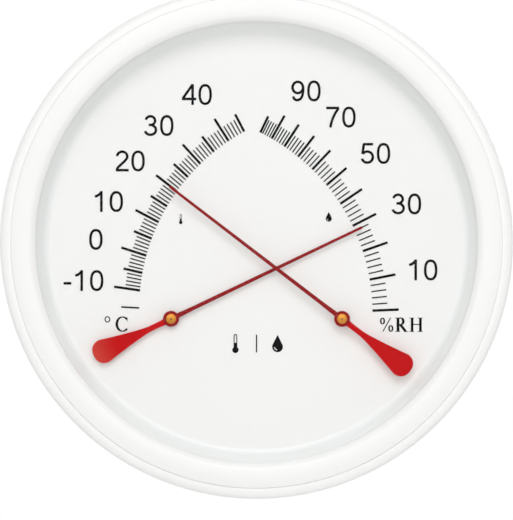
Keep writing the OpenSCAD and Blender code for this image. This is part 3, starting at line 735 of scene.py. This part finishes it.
def pointerOutline(needle):
    # u along the needle, v across it, anticlockwise from the needle's root
    s = pointerShape
    rootHalf, tipHalf, neckHalf = s["rootW"] / 2, s["tipW"] / 2, s["neckW"] / 2
    discR, endCentre, endHalf = s["discR"], s["endCentre"], s["endHalf"]
    side = []
    for k in range(1, s["needleSteps"]):
        u = discR + (needle - discR) * k / s["needleSteps"]
        side.append((u, rootHalf + (tipHalf - rootHalf) * u / needle))
    tip = arcPath((needle - s["tipL"], 0), s["tipL"], tipHalf, -90, 90, s["tipSteps"])
    discStart = degrees(asin(rootHalf / discR)) + s["discTrim"]
    discEnd = 180 - degrees(asin(neckHalf / discR)) - s["discTrim"]
    disc = arcPath((0, 0), discR, discR, discStart, discEnd, s["discSteps"])
    flare = []
    for k in range(1, s["flareSteps"]):
        u = discR - (endCentre + discR) * k / s["flareSteps"]
        spread = max(0, (u - s["neckL"]) / (-endCentre - s["neckL"]))
        flare.append((-u, neckHalf + (endHalf - neckHalf) * spread ** s["flarePower"]))
    end = superOval((endCentre, 0), s["endLong"], endHalf, 90, 270, s["endSteps"], s["endPower"])
    lower = [(u, -v) for u, v in side]
    back = [(u, -v) for u, v in reversed(disc + flare)]
    return lower + tip + side[::-1] + disc + flare + end + back


def shrunk(loop, inset):
    # moves each point in along its corner's middle direction
    moved = []
    for i, spot in enumerate(loop):
        here, before, after = Vector(spot), Vector(loop[i - 1]), Vector(loop[(i + 1) % len(loop)])
        along = ((here - before).normalized() + (after - here).normalized()).normalized()
        moved.append((here.x - along.y * inset, here.y + along.x * inset))
    return moved


def makePointer(kind):
    s, m = pointerShape, movements[kind]
    outline = pointerOutline(m["needle"])
    bore = circle((0, 0), s["boreR"], s["boreSteps"])
    sheet, edge = fromFrame(f"{kind}_pointer"), s["edge"]
    low, high, bend = sheet["low"], sheet["high"], edge * s["edgeBend"]
    layers = [
        (edge, low), (bend, low + bend), (0, low + edge),
        (0, high - edge), (bend, high - bend), (edge, high)]
    turn = radians(m["angle"])
    pivotX, pivotZ = pivotOf(kind)

    def lay(spot, d):
        u, v = spot
        x, z = pivotX + u * cos(turn) - v * sin(turn), pivotZ + u * sin(turn) + v * cos(turn)
        return x * mm, -d * mm, z * mm

    cap = shrunk(outline, edge)
    spots, triangles = fillArea([cap], [bore])
    rim, boreCount = len(outline), len(bore)
    points, faces = [], []
    for inset, d in layers:
        points += [lay(spot, d) for spot in shrunk(outline, inset)]
    boreStart = len(points)
    for d in (low, high):
        points += [lay(spot, d) for spot in bore]
    for start in range(0, boreStart - rim, rim):
        for i in range(rim):
            j = (i + 1) % rim
            faces.append((start + i, start + j, start + rim + j, start + rim + i))
    for i in range(boreCount):
        j = (i + 1) % boreCount
        faces.append((boreStart + i, boreStart + boreCount + i, boreStart + boreCount + j, boreStart + j))

    def pick(spot, last):
        # the point of the built loops that a filled corner falls on
        def gap(other):
            return hypot(other[0] - spot[0], other[1] - spot[1])

        nearCap = min(range(rim), key=lambda i: gap(cap[i]))
        nearBore = min(range(boreCount), key=lambda i: gap(bore[i]))
        if gap(bore[nearBore]) < gap(cap[nearCap]):
            return boreStart + (boreCount if last else 0) + nearBore
        return (boreStart - rim if last else 0) + nearCap

    for last in (False, True):
        chosen = [pick(spot, last) for spot in spots]
        for face in triangles:
            corners = [chosen[i] for i in face]
            faces.append(tuple(corners if last else corners[::-1]))
    paint = redPaint(
        f"{kind}Red", (pivotX * mm, 0, pivotZ * mm), (cos(turn), 0, sin(turn)), m["paintedSheen"])
    evenShading(addPiece(
        f"{kind}Needle", points, faces, paint, f"{kind}_pointer", [f"{kind}_pointer"]))


hubShape = {
    "boreR": 0.6, "flangeT": 0.6, "radius": 2.25, "neckR": 1.4, "headT": 0.35, "domeT": 0.4,
    "domeSteps": 12, "groove": 0.07, "grooveStep": 3, "smallFillet": 0.05, "footFillet": 0.12,
    "headFillet": 0.1, "steps": 72, "tone": (206, 146, 66), "deeper": (184, 120, 46), "rough": 0.38,
}


def makeHub(kind):
    # flange under the pointer, neck through it and a domed head with a turned groove
    s, sheet = hubShape, fromFrame(f"{kind}_pointer")
    low, top = sheet["low"], sheet["high"]
    small, radius, bore = s["smallFillet"], s["radius"], s["boreR"]
    headD = top + s["headT"]
    corners = [
        (bore, low - s["flangeT"], small), (radius, low - s["flangeT"], s["footFillet"]),
        (radius, low, small), (s["neckR"], low, 0), (s["neckR"], top, 0),
        (radius, top, small), (radius, headD, s["headFillet"])]
    domeR = (radius ** 2 + s["domeT"] ** 2) / (2 * s["domeT"])
    for k in range(1, s["domeSteps"] + 1):
        r = radius + (bore - radius) * k / s["domeSteps"]
        dip = s["groove"] if k == s["grooveStep"] else 0
        corners.append((r, headD + s["domeT"] - domeR + sqrt(domeR ** 2 - r ** 2) - dip, 0))
    x, z = pivotOf(kind)
    brass = metal(
        f"{kind}HubBrass", s["tone"], s["deeper"], s["rough"], turnedAt=(x * mm, 0, z * mm))
    turned(
        f"{kind}Hub", filleted(corners), s["steps"], brass, f"{kind}_pointer",
        [f"{kind}_pointer_hub"], (x, z))


for movementName in movements:
    makePointer(movementName)
    makeHub(movementName)
print("pointers and hubs made")


def ribbon(path, width):
    # outline of a pen stroke, whose width is a number or a function of the stroke's direction
    left, right = [], []
    sharpest = 0.5  # keeps the corner of a sharp bend short
    for i, spot in enumerate(path):
        here = Vector(spot)
        before = here - Vector(path[i - 1]) if i else Vector(path[1]) - here
        after = Vector(path[i + 1]) - here if i + 1 < len(path) else before
        along = (before.normalized() + after.normalized()).normalized()
        half = (width(along) if callable(width) else width) / 2
        side = Vector((-along.y, along.x)) * half / max(sharpest, along.dot(after.normalized()))
        left.append(tuple(here + side))
        right.append(tuple(here - side))
    return left + right[::-1]


def ovalStrokes(draw, centre, radiusX, radiusY, steps):
    # a closed oval as two strokes
    return [
        draw(centre, radiusX, radiusY, 0, 180, steps), draw(centre, radiusX, radiusY, 180, 360, steps)]


digitPaths = {  # the glyph's ink width and its strokes, on a height of 1
    "0": (0.648, ovalStrokes(superOval, (0.324, 0.5), 0.263, 0.445, 24)),
    "1": (0.372, [
        [(0.311, 0), (0.311, 1)],
        [(0.335, 0.985), (0.235, 0.86), (0.125, 0.785), (0.0, 0.735)]]),
    "2": (0.650, [
        arcPath((0.335, 0.715), 0.245, 0.235, 176, -28, 20)
        + [(0.44, 0.475), (0.27, 0.325), (0.13, 0.185), (0.062, 0.055)],
        [(0.03, 0.055), (0.65, 0.055)]]),
    "3": (0.640, [
        arcPath((0.305, 0.735), 0.225, 0.212, 168, -85, 22),
        arcPath((0.305, 0.29), 0.268, 0.236, 88, -166, 24),
        [(0.225, 0.528), (0.345, 0.528)]]),
    "4": (0.690, [
        [(0.035, 0.30), (0.515, 0.985)],
        [(0.0, 0.285), (0.69, 0.285)],
        [(0.515, 0), (0.515, 1.0)]]),
    "5": (0.650, [
        [(0.125, 0.945), (0.60, 0.945)],
        [(0.152, 0.96), (0.083, 0.475)],
        arcPath((0.318, 0.325), 0.268, 0.268, 146, -164, 26)]),
    "7": (0.640, [
        [(0.0, 0.942), (0.62, 0.942)],
        [(0.60, 0.93), (0.44, 0.70), (0.31, 0.42), (0.235, 0.18), (0.205, 0)]]),
    "9": (0.640, ovalStrokes(arcPath, (0.318, 0.670), 0.252, 0.272, 18) + [
        [(0.575, 0.70), (0.578, 0.56), (0.565, 0.40), (0.53, 0.25), (0.455, 0.12), (0.34, 0.06),
         (0.24, 0.06), (0.15, 0.115), (0.085, 0.235)]]),
    "-": (0.372, [[(0, 0.37), (0.372, 0.37)]]),
}
numerals = {
    "height": 9.35, "pen": 0.122,
    "step": 0.776, "dashStep": 0.465,  # advance of a digit and of the minus sign, over the height
    "bearings": {"1": 0.13, "-": 0.03},  # room to the left of these signs
    "temperature": {
        "40": (-26.9, 66.8), "30": (-44.1, 52.8), "20": (-57.1, 36.8), "10": (-66.6, 18.5),
        "0": (-72.5, 1.4), "-10": (-78.1, -17.2)},
    "humidity": {
        "90": (22.3, 68.4), "70": (38.1, 56.6), "50": (53.7, 40.2), "30": (67.7, 17.4),
        "10": (75.3, -12.4)},
}


def numberOutlines(number, centre):
    # lays a number's strokes with its ink centred on the point
    s = numerals
    lefts, at = [], 0.0
    for sign in number:
        lefts.append(at + s["bearings"].get(sign, (s["step"] - digitPaths[sign][0]) / 2))
        at += s["dashStep"] if sign == "-" else s["step"]
    middle = (lefts[0] + lefts[-1] + digitPaths[number[-1]][0]) / 2
    outlines = []
    for sign, left in zip(number, lefts):
        for path in digitPaths[sign][1]:
            outlines.append([
                (centre[0] + (x + left - middle) * s["height"], centre[1] + (y - 0.5) * s["height"])
                for x, y in ribbon(path, s["pen"])])
    return outlines


for scaleName in ("temperature", "humidity"):
    outlines = []
    for number, spot in numerals[scaleName].items():
        outlines += numberOutlines(number, spot)
    raisedInk(f"{scaleName}Numerals", outlines)


unitSigns = {
    "thick": 0.180, "thin": 0.068, "serif": 0.038, "swell": 1.4, "ovalR": (0.125, 0.205), "ovalSteps": 16,
    "letters": {  # left, bottom, height and how much wider
        "C": (-63.6, -40.2, 6.75, 1.06), "%": (55.7, -40.3, 6.35, 1.0), "R": (62.6, -40.3, 6.35, 1.08),
        "H": (69.0, -40.3, 6.35, 1.0)},
    "degreeAt": (-67.3, -34.7), "degreeR": 1.05, "degreeTall": 1.15, "degreePen": 0.46, "degreeSteps": 20,
}


def brushPen(thickness, thinness=1.0):
    # upright strokes thick, level strokes thin
    thick, thin = unitSigns["thick"] * thickness, unitSigns["thin"] * thinness
    return lambda along: thin + (thick - thin) * abs(along.y) ** unitSigns["swell"]


def bar(x0, y0, x1, y1):
    return [(x0, y0), (x1, y0), (x1, y1), (x0, y1)]


def serif(x, half, top=False):
    # level bar at the foot or the top of a letter
    y, thin = 0.98 if top else 0.02, unitSigns["serif"] / 2
    return bar(x - half, y - thin, x + half, y + thin)


def percentOval(x, y):
    strokes = ovalStrokes(arcPath, (x, y), *unitSigns["ovalR"], unitSigns["ovalSteps"])
    return [ribbon(stroke, brushPen(0.62, 0.9)) for stroke in strokes]


def serifLetters():
    # outlines on a height of 1
    thick, thin = unitSigns["thick"], unitSigns["thin"]
    bowl = arcPath((0.36, 0.745), 0.175, 0.233, 86, -86, 18)
    return {
        "C": [
            ribbon(arcPath((0.44, 0.5), 0.365, 0.475, 42, 318, 40), brushPen(0.86)),
            bar(0.712, 0.69, 0.745, 0.94), bar(0.690, 0.10, 0.728, 0.22)],
        "%": percentOval(0.185, 0.765) + percentOval(0.775, 0.235) + [
            ribbon([(0.215, 0.02), (0.765, 1.0)], thin)],
        "R": [
            bar(0.095, 0, 0.095 + thick, 1), serif(0.165, 0.165), serif(0.135, 0.135, top=True),
            ribbon([(0.20, 0.978), (0.34, 0.978)] + bowl + [(0.34, 0.512), (0.20, 0.512)], brushPen(0.92)),
            ribbon([(0.335, 0.51), (0.50, 0.29), (0.66, 0.06), (0.71, 0.02)], thick * 0.92),
            serif(0.735, 0.10)],
        "H": [
            bar(0.105, 0, 0.105 + thick, 1), bar(0.695, 0, 0.695 + thick, 1),
            serif(0.175, 0.175), serif(0.175, 0.175, top=True),
            serif(0.770, 0.175), serif(0.770, 0.175, top=True),
            bar(0.18, 0.49, 0.77, 0.49 + thin)],
    }


letters = serifLetters()


def letterOutlines(letter):
    left, bottom, height, wider = unitSigns["letters"][letter]
    return [
        [(left + x * height * wider, bottom + y * height) for x, y in outline]
        for outline in letters[letter]]


def degreeSign():
    s = unitSigns
    strokes = ovalStrokes(
        arcPath, s["degreeAt"], s["degreeR"], s["degreeR"] * s["degreeTall"], s["degreeSteps"])
    return [ribbon(stroke, s["degreePen"]) for stroke in strokes]


raisedInk("temperatureUnit", letterOutlines("C") + degreeSign())
raisedInk("humidityUnit", letterOutlines("%") + letterOutlines("R") + letterOutlines("H"))

# ratios to the height of each small picture
dropShape = {
    "bowlR": 0.31, "bowlDrop": 0.19, "bowlFrom": 152, "bowlTo": 388, "bowlSteps": 30,
    "streakR": 0.58, "streakFrom": 185, "streakTo": 262, "streakSteps": 10, "streakPen": 0.055,
}
thermometerShape = {
    "bulbR": 0.165, "stemR": 0.095, "wall": 0.048, "column": 0.04, "bulbSteps": 30, "topSteps": 14,
    "boreSteps": 10,
}
dividerShape = {"half": 0.035}


def droplet(centre, height):
    # outline of a drop with a curved light streak left out of it
    s = dropShape
    r = height * s["bowlR"]
    middle = (centre[0], centre[1] - height * s["bowlDrop"])
    bowl = arcPath(middle, r, r, s["bowlFrom"], s["bowlTo"], s["bowlSteps"])
    streakR = r * s["streakR"]
    streak = arcPath(middle, streakR, streakR, s["streakFrom"], s["streakTo"], s["streakSteps"])
    return [bowl + [(centre[0], centre[1] + height / 2)]], [ribbon(streak, height * s["streakPen"])]


def thermometer(centre, height):
    # stem with a clear bore, bulb and a filled column
    s = thermometerShape
    x, z = centre
    bulb, stem, wall = height * s["bulbR"], height * s["stemR"], height * s["wall"]
    bulbZ = z - height / 2 + bulb
    top = z + height / 2 - stem
    meet = degrees(asin(stem / bulb))
    outer = arcPath((x, bulbZ), bulb, bulb, 90 + meet, 450 - meet, s["bulbSteps"])
    outer += arcPath((x, top), stem, stem, 0, 180, s["topSteps"])
    inside, column = stem - wall, z + height * s["column"]
    hollow = arcPath((x, top), inside, inside, 0, 180, s["boreSteps"])
    return [outer], [hollow + [(x - inside, column), (x + inside, column)]]


def divider(centre, height):
    x, z = centre
    half = height * dividerShape["half"]
    return [bar(x - half, z - height / 2, x + half, z + height / 2)], []


pictures = {  # what is drawn, where, and its height
    "temperaturePicture": [(thermometer, (-34.2, 10.6), 4.6)],
    "humidityPicture": [(droplet, (32.6, 11.6), 4.4)],
    "dialPictures": [
        (thermometer, (-9.5, -45.6), 8.6), (droplet, (9.5, -45.6), 7.8), (divider, (0, -45.6), 8.0)],
}
for pictureName, drawings in pictures.items():
    filled, holes = [], []
    for draw, spot, size in drawings:
        shapes, gaps = draw(spot, size)
        filled += shapes
        holes += gaps
    raisedInk(pictureName, filled, holes)
print("numerals, unit signs and pictures made")
